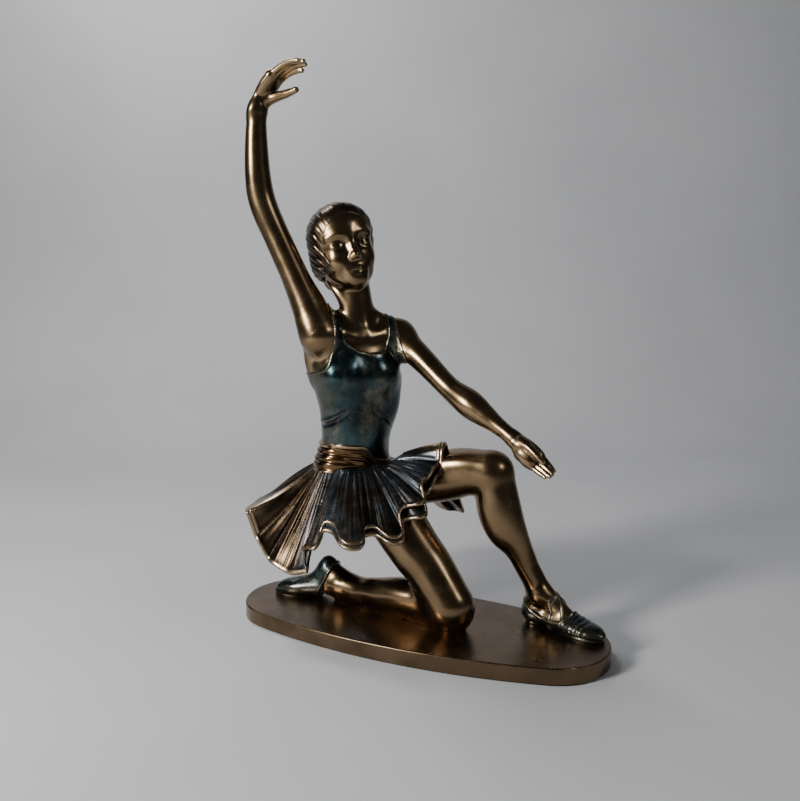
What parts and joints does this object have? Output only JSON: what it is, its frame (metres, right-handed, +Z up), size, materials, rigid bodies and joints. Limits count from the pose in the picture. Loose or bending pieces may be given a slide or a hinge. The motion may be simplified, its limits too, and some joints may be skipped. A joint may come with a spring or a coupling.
{
  "type": "kneeling dancer statuette",
  "caption": "Bronze-finish statuette of a ballet dancer kneeling on one knee, one arm raised and one lowered, in a leotard and ruffled skirt, on a thin oval plinth.",
  "frame": {"origin": "on the underside of the felt, at the centre of the oval plinth", "axes": "+Z up; +X along the plinth's long axis, the way the front foot points; +Y away from the side that the dancer turns to"},
  "size_m": [0.17, 0.0848, 0.2399],
  "materials": {
    "bronze_skin": "brown-bronze patina, satin, rubbed lighter on the high points",
    "teal_patina": "dark blue-green patina with bronze showing through on the high points",
    "sash_bronze": "brown bronze, satin, dark in the folds",
    "skirt_bronze": "bronze with a blue-green wash in the folds",
    "hair_bronze": "darker brown bronze with rubbed strands",
    "plinth_bronze": "dark brown bronze, semi-gloss top",
    "felt": "black felt",
    "steel": "plain steel screws, washers and dowels"
  },
  "bodies": {
    "root": {"plinth": "plinth_bronze", "felt_pad": "felt", "base_screws": "steel", "base_washers": "steel", "front_leg": "bronze_skin", "front_slipper": "teal_patina", "ankle_strap": "teal_patina", "kneeling_leg": "bronze_skin", "kneeling_slipper": "teal_patina", "pelvis": "teal_patina", "hip_dowels": "steel", "waist_rod": "steel", "torso": "bronze_skin", "shoulder_dowels": "steel", "neck_dowel": "steel", "leotard": "teal_patina", "waist_sash": "sash_bronze", "raised_arm": "bronze_skin", "lowered_arm": "bronze_skin", "head": "bronze_skin", "hair": "hair_bronze", "hair_bun": "hair_bronze", "skirt_upper_tier": "skirt_bronze", "skirt_lower_tier": "skirt_bronze"}
  },
  "joints": []
}
